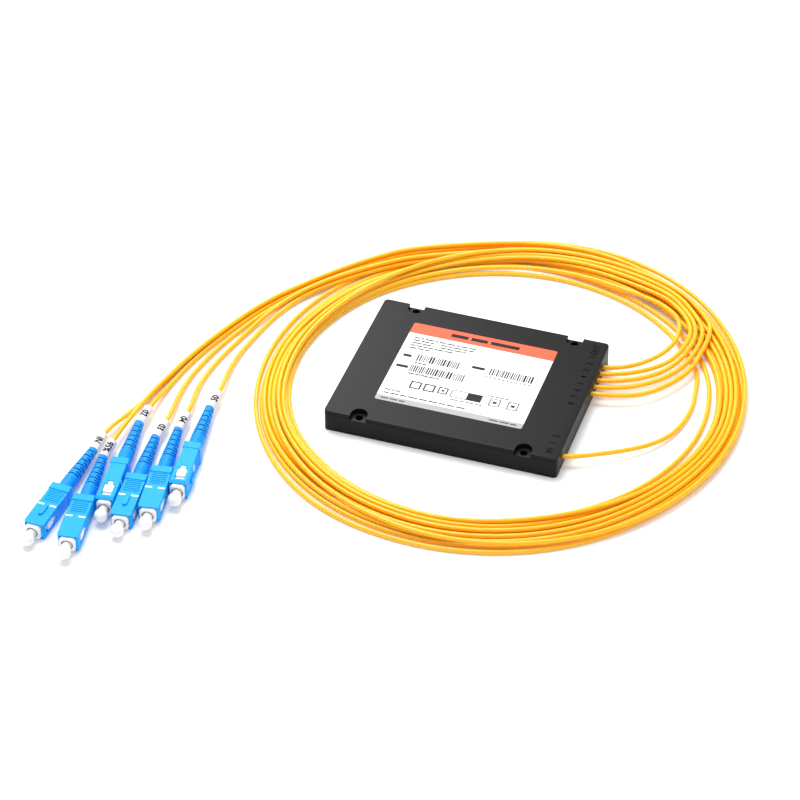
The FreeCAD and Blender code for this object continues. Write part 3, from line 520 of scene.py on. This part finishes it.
TAIL_POINTS = {
    "in": [(-0.0504, 0.0888, 0.0030), (-0.0702, 0.0723, 0.0025), (-0.0892, 0.0503, 0.0013),
           (-0.1032, 0.0299, 0.0010), (-0.1130, 0.0060, 0.0010), (-0.1199, -0.0148, 0.0010),
           (-0.1242, -0.0375, 0.0010), (-0.1289, -0.0570, 0.0018), (-0.1330, -0.0720, 0.0037),
           (-0.1332, -0.0870, 0.0037), (-0.1338, -0.0964, 0.0037)],
    "1": [(-0.0494, 0.0876, 0.0050), (-0.0690, 0.0711, 0.0045), (-0.0883, 0.0496, 0.0033),
           (-0.1023, 0.0293, 0.0029), (-0.1119, 0.0057, 0.0029), (-0.1186, -0.0150, 0.0030),
           (-0.1227, -0.0330, 0.0031), (-0.1257, -0.0490, 0.0034), (-0.1276, -0.0753, 0.0044),
           (-0.1271, -0.0908, 0.0044), (-0.1259, -0.1001, 0.0044)],
    "2": [(-0.0490, 0.0871, 0.0030), (-0.0685, 0.0706, 0.0026), (-0.0875, 0.0490, 0.0014),
           (-0.1014, 0.0287, 0.0010), (-0.1108, 0.0053, 0.0010), (-0.1173, -0.0155, 0.0010),
           (-0.1206, -0.0355, 0.0010), (-0.1214, -0.0520, 0.0044), (-0.1214, -0.0660, 0.0044),
           (-0.1202, -0.0753, 0.0044)],
    "3": [(-0.0462, 0.0829, 0.0030), (-0.0657, 0.0679, 0.0030), (-0.0858, 0.0477, 0.0021),
           (-0.0992, 0.0276, 0.0010), (-0.1080, 0.0043, 0.0010), (-0.1129, -0.0150, 0.0010),
           (-0.1149, -0.0340, 0.0012), (-0.1116, -0.0565, 0.0037), (-0.1121, -0.0715, 0.0037),
           (-0.1110, -0.0808, 0.0037)],
    "4": [(-0.0455, 0.0820, 0.0050), (-0.0650, 0.0671, 0.0049), (-0.0849, 0.0471, 0.0043),
           (-0.0968, 0.0283, 0.0024), (-0.1036, 0.0050, 0.0010), (-0.1080, -0.0155, 0.0010),
           (-0.1088, -0.0320, 0.0014), (-0.1050, -0.0499, 0.0044), (-0.1047, -0.0649, 0.0044),
           (-0.1032, -0.0742, 0.0044)],
    "5": [(-0.0449, 0.0812, 0.0030), (-0.0642, 0.0664, 0.0030), (-0.0840, 0.0464, 0.0023),
           (-0.0936, 0.0298, 0.0010), (-0.0990, 0.0045, 0.0010), (-0.1006, -0.0130, 0.0017),
           (-0.0976, -0.0333, 0.0044), (-0.0974, -0.0478, 0.0044), (-0.0962, -0.0571, 0.0044)],
}

# The extruded jacket is smooth with a satin gloss, and light goes a little way into it,
# which warms its shaded side.  Its skin is finer than shows, so it is drawn 0.9 mm coarse.
jacket = empty_material("yellow_extruded_jacket")
place = add(jacket, "TexCoord", {})
drift = add(jacket, "TexNoise", {"Vector": (place, "Object"), "Scale": 1 / (22 * MM),
                                 "Detail": 2.0})
colour = add(jacket, "Mix", {0: (drift, "Fac"), 6: linear("#FFB404"), 7: linear("#FFC108")},
             data_type="RGBA")
skin = add(jacket, "TexNoise", {"Vector": (place, "Object"), "Scale": 1 / (0.9 * MM),
                                "Detail": 2.0})
roughness = add(jacket, "MapRange", {"Value": (skin, "Fac"), "From Min": 0.3, "From Max": 0.7,
                                     "To Min": 0.3, "To Max": 0.37})
bump = add(jacket, "Bump", {"Height": (skin, "Fac"), "Distance": 0.001 * MM, "Strength": 1.0})
surface = add(jacket, "BsdfPrincipled", {"Base Color": (colour, 2), "IOR": 1.5,
                                         "Roughness": (roughness, "Result"),
                                         "Normal": (bump, "Normal"),
                                         "Subsurface Weight": 0.6,
                                         "Subsurface Radius": (1.0, 0.35, 0.05),
                                         "Subsurface Scale": 1.6 * MM})
add(jacket, "OutputMaterial", {"Surface": (surface, "BSDF")})


def turn_points(name):
    """The points round the coil; a point stands off its arc, so that the line lies on it."""
    stand_off = 1 / math.cos(TURN_STEP / 2)
    points = []
    for step, (radius, height) in enumerate(TURNS[name]):
        angle = math.radians(TURN_START[name]) + TURN_STEP * step
        points.append((COIL_X + stand_off * radius * math.cos(angle),
                       COIL_Y + stand_off * radius * math.sin(angle), height))
    return points


cords = {}
for name in CORD_NAMES:
    points = LEAD_POINTS[name] + turn_points(name) + TAIL_POINTS[name]
    curve = bpy.data.curves.new("cord_" + name, "CURVE")
    curve.dimensions = "3D"
    spline = curve.splines.new("NURBS")
    spline.points.add(len(points) - 1)
    for point, spot in zip(spline.points, points):
        point.co = (*spot, 1)
    spline.order_u = 3
    spline.use_endpoint_u = True
    spline.resolution_u = 8
    spline.use_smooth = True
    curve.bevel_depth = CORD_WIDTH / 2
    curve.bevel_resolution = 4
    curve.use_fill_caps = True
    curve.materials.append(jacket)
    cords[name] = bpy.data.objects.new("cord_" + name, curve)
    bpy.context.scene.collection.objects.link(cords[name])
    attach(cords[name], "module")
    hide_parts("cord_lead_" + name, "cord_tail_" + name, "cord_coil")

# ------------------------------------------------------ crimps inside the plugs
# Inside each plug a nickel-plated brass post closes the frame and backs the spring, and
# an aluminium ring is crimped over the cord's strength yarn on it.

# The plating is warm and bright, the aluminium pale and marked by the crimping tool, and
# the springs are darker, bright drawn wire.
finish("back_posts", metal("nickel_plated_brass", "#B8B4A6", "#D2CEC0", gloss=(0.22, 0.34),
                           lines_mm=(3, 1.5), depth_mm=0.004))
finish("crimp_rings", metal("crimped_aluminium", "#B4B5B7", "#D0D1D3", gloss=(0.32, 0.48),
                            lines_mm=(2, 0.4), depth_mm=0.01))
spring_steel = metal("bright_spring_steel", "#8F9092", "#B5B6B8", gloss=(0.2, 0.3),
                     lines_mm=(1, 0.3), depth_mm=0.004)
for name in CORD_NAMES:
    finish("ferrule_spring_" + name, spring_steel)

# ----------------------------------------------------------------------- boots
# A bend-relief boot is moulded in soft blue elastomer: a cone cut by crossed pairs of
# slits, so that it bends in an even curve.  One goes over the back of each plug.

# Each plug's place on the ground in millimetres, its heading and its roll in degrees.
PLUGS = {
    "in": ((-136.46, -139.35), -93.5, 0),
    "1": ((-120.35, -142.79), -82.6, 180),
    "2": ((-114.98, -118.01), -83.0, 90),
    "3": ((-105.87, -123.52), -83.2, 0),
    "4": ((-96.69, -116.71), -81.3, 180),
    "5": ((-90.79, -99.80), -82.8, -90),
}
# Along a plug, lengths run from the grip's front and are negative towards the cord.
BOOT_BACK = -52.4 * MM
BOOT_MIDDLE = -37 * MM
SLIT_ZONE = (-51.2 * MM, -33.7 * MM)
SLIT_FLOOR = 1.56 * MM           # the slits end this far from the cord's line


def plug_place(name, rolled=True):
    """The place of a plug: its origin is the middle of the grip's front, +X the way in."""
    (x, y), heading, roll = PLUGS[name]
    height = (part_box("ferrule_" + name)[0].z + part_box("ferrule_" + name)[1].z) / 2
    turned = Matrix.Rotation(math.radians(heading), 4, "Z")
    if rolled:
        turned = turned @ Matrix.Rotation(math.radians(roll), 4, "X")
    return Matrix.Translation((x * MM, y * MM, height)) @ turned


def centre(piece):
    """The middle of a piece's corners."""
    corners = [v.co for v in piece.data.vertices]
    return sum(corners, Vector()) / len(corners)


def one_for_each_plug(node, name, middles, material):
    """Takes a node of six like solids apart and hands one to each plug."""
    whole = merged_copy(node, name)
    select_only(whole)
    bpy.ops.object.mode_set(mode="EDIT")
    bpy.ops.mesh.separate(type="LOOSE")
    bpy.ops.object.mode_set(mode="OBJECT")
    loose = list(bpy.context.selected_objects)
    bpy.ops.object.shade_smooth_by_angle(angle=SMOOTH_ANGLE)
    pieces = {}
    for plug in CORD_NAMES:
        piece = min(loose, key=lambda o: (centre(o) - middles[plug]).length)
        piece.name = name + "_" + plug
        piece.data.materials.clear()
        piece.data.materials.append(material)
        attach(piece, "module")
        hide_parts(node)
        pieces[plug] = piece
    return pieces


# Soft elastomer is satin, and light goes into it, so its edges glow a little.
soft_blue = moulded("soft_blue_elastomer", "#0088F5", "#0094FA", drift_mm=7,
                    gloss=(0.45, 0.56), texture_mm=0.6, depth_mm=0.01,
                    extra={"Specular IOR Level": 0.2, "Subsurface Weight": 0.3,
                           "Subsurface Radius": (0.05, 0.3, 1.0),
                           "Subsurface Scale": 1.0 * MM})
# The blades that form the slits leave their walls dull, and the walls and the core at the
# slits' floor are painted a dark blue: painted shade for the shadow deep in the slits.
slit_painted_shade_blue = moulded("slit_painted_shade_elastomer", "#012A78", "#02388C", drift_mm=4,
                    gloss=(0.7, 0.8), texture_mm=0.4, depth_mm=0.02)
boot_middles = {name: plug_place(name) @ Vector((BOOT_MIDDLE, 0, 0)) for name in CORD_NAMES}
boots = one_for_each_plug("boots", "boot", boot_middles, soft_blue)
for name, boot in boots.items():
    boot.data.materials.append(slit_painted_shade_blue)
    to_plug = plug_place(name).inverted()
    # Faces in the slits take the painted shade.
    for face in boot.data.polygons:
        spot, way = to_plug @ face.center, to_plug.to_3x3() @ face.normal
        in_slit_shade = abs(way.x) > 0.9 or math.hypot(spot.y, spot.z) < SLIT_FLOOR
        if in_slit_shade and SLIT_ZONE[0] < spot.x < SLIT_ZONE[1]:
            face.material_index = 1

# -------------------------------------------------------------- number sleeves
# A short sleeve of white film round each cord, against its boot, carries the channel in
# black print: IN on the input, the share of the first output, the numbers of the others.
SLEEVE_GAP = 0.35 * MM           # room for the turned sleeve behind the boot
SLEEVE_LENGTH = 10.2 * MM
SLEEVE_RADIUS = 2.05 * MM
# How far each sleeve leans to the side behind its boot, in degrees.
SLEEVE_TURN = {"in": 2.5, "1": -5.6, "2": -7.0, "3": -8.8, "4": -7.3, "5": -6.6}
SLEEVE_WORDS = {"in": "IN", "1": "95%", "2": "02", "3": "03", "4": "04", "5": "05"}
PRINT_TILT = math.radians(13)    # the print faces a little to the side
PRINT_HEIGHT_MM, PRINT_WEIGHT_MM = 3.0, 0.18
PRINT_WIDTH = 0.85               # how narrow the letters are
PRINT_STRIP = 0.2 * MM           # the letters are cut into strips to bend round the sleeve
STRIPS_TO_EDGE = 6
sleeve_film = print_colour("white_sleeve_film", "#DEDDE1", 0.5)


def sleeve_place(name):
    """The place of a sleeve: its origin is the middle of its length, +X towards the plug."""
    front = plug_place(name, rolled=False) @ Matrix.Translation((BOOT_BACK - SLEEVE_GAP, 0, 0))
    turned = Matrix.Rotation(math.radians(SLEEVE_TURN[name]), 4, "Z")
    return front @ turned @ Matrix.Translation((-SLEEVE_LENGTH / 2, 0, 0))


sleeve_middles = {name: plug_place(name) @ Vector((BOOT_BACK - SLEEVE_LENGTH / 2, 0, 0))
                  for name in CORD_NAMES}
sleeves = one_for_each_plug("number_sleeves", "sleeve", sleeve_middles, sleeve_film)
sleeve_prints = {}
for name, words in SLEEVE_WORDS.items():
    straight_back = Matrix.Translation((BOOT_BACK - SLEEVE_LENGTH / 2, 0, 0))
    straight = plug_place(name, rolled=False) @ straight_back
    sleeves[name].data.transform(sleeve_place(name) @ straight.inverted())
    letters = text_mesh(words, PRINT_HEIGHT_MM, PRINT_WEIGHT_MM, PRINT_WIDTH)
    select_only(letters)
    bpy.ops.object.mode_set(mode="EDIT")
    for cut in range(-STRIPS_TO_EDGE, STRIPS_TO_EDGE + 1):
        bpy.ops.mesh.select_all(action="SELECT")
        bpy.ops.mesh.bisect(plane_co=(0, PRINT_STRIP * cut, 0), plane_no=(0, 1, 0))
    bpy.ops.object.mode_set(mode="OBJECT")
    radius = SLEEVE_RADIUS + INK / 2
    for vertex in letters.data.vertices:
        x, y, _ = vertex.co
        angle = PRINT_TILT + y / radius
        vertex.co = (x, radius * math.sin(angle), radius * math.cos(angle))
    letters.data.transform(sleeve_place(name))
    thick = letters.modifiers.new("ink", "SOLIDIFY")
    thick.thickness = INK
    thick.offset = 1
    bpy.ops.object.modifier_apply(modifier=thick.name)
    letters.name = "sleeve_print_" + name
    letters.data.materials.clear()
    letters.data.materials.append(black_ink)
    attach(letters, "module")
    sleeve_prints[name] = letters

# -------------------------------------------------------- plug frames, ferrules
# The inner frame is moulded in white PBT, and the ferrule in it is ground zirconia.
# The frames are a clean white with a soft gloss, the ferrules a harder, brighter one.
white_pbt = moulded("white_pbt", "#ECEDEF", "#F7F8F9", drift_mm=5, gloss=(0.32, 0.42),
                    texture_mm=0.6, depth_mm=0.006)
zirconia = moulded("ground_zirconia", "#E9E8E3", "#F2F1ED", drift_mm=2, gloss=(0.12, 0.2),
                   texture_mm=0.4, depth_mm=0.001)
for name in CORD_NAMES:
    finish("plug_frame_" + name, white_pbt)
    finish("ferrule_" + name, zirconia)

# The frame fills each side window of the grip with a raised pad, a wide front and a narrow
# back, that stays clear of the window's edges while the grip slides.
PAD_FRONT, PAD_STEP, PAD_BACK = -4.35 * MM, -8.65 * MM, -10.65 * MM
PAD_HALF, PAD_NECK_HALF = 1.95 * MM, 1.0 * MM
PAD_IN, PAD_OUT = 3.2 * MM, 4.2 * MM      # its back and its face, from the plug's middle
PAD_ROUNDING = 0.15 * MM


def select_faces(piece, wanted):
    """Selects the faces of a piece in edit mode by their place or normal."""
    mesh = bmesh.from_edit_mesh(piece.data)
    for face in mesh.faces:
        face.select_set(wanted(face.normal, face.calc_center_median()))
    bmesh.update_edit_mesh(piece.data)


window_pads = {}
for name in CORD_NAMES:
    pads = []
    for side in (-1, 1):
        bpy.ops.object.select_all(action="DESELECT")
        bpy.ops.mesh.primitive_cube_add(size=1)
        pad = bpy.context.object
        middle = Vector(((PAD_FRONT + PAD_STEP) / 2, side * (PAD_IN + PAD_OUT) / 2, 0))
        pad.data.transform(Matrix.Translation(middle) @ Matrix.Diagonal(
            (PAD_FRONT - PAD_STEP, PAD_OUT - PAD_IN, 2 * PAD_HALF, 1)))
        bpy.ops.object.mode_set(mode="EDIT")
        for cut_z in (-PAD_NECK_HALF, PAD_NECK_HALF):
            bpy.ops.mesh.select_all(action="SELECT")
            bpy.ops.mesh.bisect(plane_co=(0, 0, cut_z), plane_no=(0, 0, 1))
        select_faces(pad, lambda normal, spot: normal.x < -0.9 and abs(spot.z) < PAD_NECK_HALF)
        bpy.ops.mesh.extrude_region_move(TRANSFORM_OT_translate={
            "value": (PAD_BACK - PAD_STEP, 0, 0)})
        bpy.ops.object.mode_set(mode="OBJECT")
        rounding = pad.modifiers.new("rounding", "BEVEL")
        rounding.width = PAD_ROUNDING
        rounding.segments = 2
        rounding.limit_method = "ANGLE"
        bpy.ops.object.modifier_apply(modifier=rounding.name)
        pads.append(pad)
    window_pads[name] = join_pieces(pads, "frame_pads_" + name, white_pbt)
    window_pads[name].data.transform(plug_place(name))
    bpy.ops.object.shade_smooth_by_angle(angle=SMOOTH_ANGLE)
    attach(window_pads[name], "module")

# ------------------------------------------------------------------------ grips
# The outer housing that is pushed and pulled is moulded in bright blue PBT, with a fine
# satin texture.  Two white dashes printed across both wide faces show how far to push.
blue_pbt = moulded("bright_blue_pbt", "#009EFF", "#00AAFF", drift_mm=9, gloss=(0.42, 0.52),
                   texture_mm=0.5, depth_mm=0.008,
                   extra={"Specular IOR Level": 0.2, "Subsurface Weight": 0.3,
                          "Subsurface Radius": (0.05, 0.3, 1.0),
                          "Subsurface Scale": 1.0 * MM})
white_paint = print_colour("white_pad_print", "#F7FAFF", 0.45)
GRIP_HALF_HEIGHT = 3.65 * MM
DASH_X = -12.1 * MM
DASH_OUT = 2.65 * MM             # middle of a dash from the middle of the face
DASH_WIDTH, DASH_LENGTH = 0.8 * MM, 2.8 * MM
dash_prints = {}
for name in CORD_NAMES:
    finish("grip_" + name, blue_pbt)
    dashes = []
    for face in (-1, 1):
        for side in (-1, 1):
            bpy.ops.object.select_all(action="DESELECT")
            place = Vector((DASH_X, side * DASH_OUT, face * (GRIP_HALF_HEIGHT + INK / 2)))
            bpy.ops.mesh.primitive_cube_add(size=1, location=place)
            dash = bpy.context.object
            dash.data.transform(Matrix.Translation(place)
                                @ Matrix.Diagonal((DASH_WIDTH, DASH_LENGTH, INK, 1)))
            dash.location = (0, 0, 0)
            dashes.append(dash)
    marks = join_pieces(dashes, "grip_dashes_" + name, white_paint)
    marks.data.transform(plug_place(name))
    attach(marks, "grip_" + name)
    dash_prints[name] = marks

# -------------------------------------------------------------------- dust caps
# A soft cap of natural polyethylene, a neck with a ball to hold it by, is pushed over each
# ferrule against dust.

# The plastic is milky: light goes into it and comes out again, so that it glows and its
# shaded side is soft.
milky = empty_material("natural_polyethylene")
place = add(milky, "TexCoord", {})
cloud = add(milky, "TexNoise", {"Vector": (place, "Object"), "Scale": 1 / (2.5 * MM),
                                "Detail": 3.0})
value = add(milky, "MapRange", {"Value": (cloud, "Fac"), "To Min": 0.97, "To Max": 1.0})
colour = add(milky, "HueSaturation", {"Value": (value, "Result"), "Color": linear("#FBFBFC")})
roughness = add(milky, "MapRange", {"Value": (cloud, "Fac"), "To Min": 0.3, "To Max": 0.42})
surface = add(milky, "BsdfPrincipled", {"Base Color": (colour, "Color"), "IOR": 1.51,
                                        "Roughness": (roughness, "Result"),
                                        "Subsurface Weight": 0.8,
                                        "Subsurface Radius": (1.0, 1.0, 1.0),
                                        "Subsurface Scale": 2.0 * MM,
                                        "Transmission Weight": 0.1})
add(milky, "OutputMaterial", {"Surface": (surface, "BSDF")})
# Along the cap, lengths run from the grip's front, as on the rest of the plug.
CAP_BACK, CAP_BORE_END, CAP_FRONT = -4.5 * MM, 4.0 * MM, 8.05 * MM
CAP_BORE, CAP_NECK = 1.35 * MM, 1.95 * MM
CAP_RIM = 0.15 * MM              # bevel of the open end
BALL_MIDDLE, BALL_RADIUS = 5.65 * MM, 2.8 * MM
CAP_SIDES, BALL_STEPS = 32, 12
FLAT_RISE, FLAT_EDGE = 0.08 * MM, 0.35 * MM      # the bevel round the ball's flat front

# The skin of the cap, ring by ring: the bore, the rim, the neck and the ball to its flat.
ball_end = math.asin((CAP_FRONT - BALL_MIDDLE) / BALL_RADIUS)
cap_rings = [(CAP_BACK, CAP_BORE), (CAP_BACK, CAP_NECK - CAP_RIM),
             (CAP_BACK + CAP_RIM, CAP_NECK), (0, CAP_NECK)]
ball_start = -math.acos(CAP_NECK / BALL_RADIUS)
for step in range(BALL_STEPS + 1):
    turn = ball_start + (ball_end - ball_start) * step / BALL_STEPS
    cap_rings.append((BALL_MIDDLE + BALL_RADIUS * math.sin(turn), BALL_RADIUS * math.cos(turn)))
cap_rings.append((CAP_FRONT + FLAT_RISE, cap_rings[-1][1] - FLAT_EDGE))
CAP_SMOOTH_ANGLE = math.radians(40)
dust_caps = {}
for name in CORD_NAMES:
    bpy.ops.object.select_all(action="DESELECT")
    bpy.ops.mesh.primitive_circle_add(vertices=CAP_SIDES, radius=CAP_BORE, fill_type="NGON")
    cap = bpy.context.object
    cap.name = "dust_cap_skin_" + name
    cap.data.transform(Matrix.Translation((CAP_BORE_END, 0, 0)) @ Matrix.Rotation(
        math.radians(90), 4, "Y"))
    bpy.ops.object.mode_set(mode="EDIT")
    bpy.ops.mesh.select_mode(type="EDGE")
    bpy.ops.mesh.select_all(action="DESELECT")
    bpy.ops.mesh.select_non_manifold()
    at, radius = CAP_BORE_END, CAP_BORE
    for ring_x, ring_radius in cap_rings:
        bpy.ops.mesh.extrude_edges_move(TRANSFORM_OT_translate={"value": (ring_x - at, 0, 0)})
        bpy.ops.transform.resize(value=(1, ring_radius / radius, ring_radius / radius),
                                 center_override=(ring_x, 0, 0))
        at, radius = ring_x, ring_radius
    bpy.ops.mesh.edge_face_add()
    bpy.ops.mesh.select_all(action="SELECT")
    bpy.ops.mesh.normals_make_consistent(inside=False)
    bpy.ops.mesh.select_mode(type="VERT")
    bpy.ops.object.mode_set(mode="OBJECT")
    bpy.ops.object.shade_smooth_by_angle(angle=CAP_SMOOTH_ANGLE)
    cap.data.transform(plug_place(name))
    cap.data.materials.append(milky)
    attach(cap, "dust_cap_" + name)
    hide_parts("dust_cap_" + name)
    dust_caps[name] = cap

# Each cord runs on into its boot and ends in its plug; the plug's pieces are listed for each cord.
for name in CORD_NAMES:
    own = [boots[name], sleeves[name], sleeve_prints[name], window_pads[name],
           dash_prints[name], dust_caps[name]]
    own += [nodes[kind + name] for kind in ("plug_frame_", "grip_", "ferrule_", "ferrule_spring_")]

# ------------------------------------------------------- floor, light and camera
# A plain white light table under an even pale sky, with a large soft lamp above and a small
# one low behind the left side, whose sheen on the flat faces fades towards the right.
bpy.ops.object.select_all(action="DESELECT")
bpy.ops.mesh.primitive_plane_add(size=8)
floor = bpy.context.object
floor.name = "floor"
# The table is matt white acrylic over lamps, so it gives a faint light of its own.
acrylic = empty_material("matt_white_acrylic")
surface = add(acrylic, "BsdfPrincipled", {"Base Color": linear("#F4F4F4"), "Roughness": 0.8,
                                          "Specular IOR Level": 0.1,
                                          "Emission Color": (1, 1, 1, 1),
                                          "Emission Strength": 0.08})
add(acrylic, "OutputMaterial", {"Surface": (surface, "BSDF")})
floor.data.materials.append(acrylic)

SKY_STRENGTH = 0.75
world = bpy.data.worlds.new("studio")
bpy.context.scene.world = world
world.use_nodes = True
world.node_tree.nodes["Background"].inputs["Color"].default_value = (1, 1, 1, 1)
world.node_tree.nodes["Background"].inputs["Strength"].default_value = SKY_STRENGTH


def soft_lamp(name, place, aim, size, power):
    """A square lamp that faces a spot; its place and size are in metres, its power in watts."""
    lamp = bpy.data.objects.new(name, bpy.data.lights.new(name, "AREA"))
    bpy.context.scene.collection.objects.link(lamp)
    lamp.data.shape = "SQUARE"
    lamp.data.size = size
    lamp.data.energy = power
    lamp.location = place
    lamp.rotation_euler = (Vector(aim) - Vector(place)).to_track_quat("-Z", "Y").to_euler()


soft_lamp("top_lamp", place=(-0.35, 0.3, 1.3), aim=(0, 0, 0), size=0.8, power=17)
soft_lamp("back_lamp", place=(-0.24, 0.42, 0.40), aim=(0, 0, 0), size=0.16, power=1.0)

camera = bpy.data.objects.new("camera", bpy.data.cameras.new("camera"))
bpy.context.scene.collection.objects.link(camera)
CAMERA_TARGET = Vector((-26.1, -12.0, 0.0)) * MM
CAMERA_AZIMUTH = math.radians(18.42)
CAMERA_ELEVATION = math.radians(39.28)
CAMERA_DISTANCE = 1297.6 * MM
camera.location = CAMERA_TARGET + CAMERA_DISTANCE * Vector((
    math.sin(CAMERA_AZIMUTH) * math.cos(CAMERA_ELEVATION),
    -math.cos(CAMERA_AZIMUTH) * math.cos(CAMERA_ELEVATION), math.sin(CAMERA_ELEVATION)))
camera.rotation_euler = (CAMERA_TARGET - camera.location).to_track_quat("-Z", "Y").to_euler()
camera.data.lens = 139.7
camera.data.sensor_width = 36
camera.data.clip_end = 20
bpy.context.scene.camera = camera
bpy.context.scene.view_settings.view_transform = "Standard"
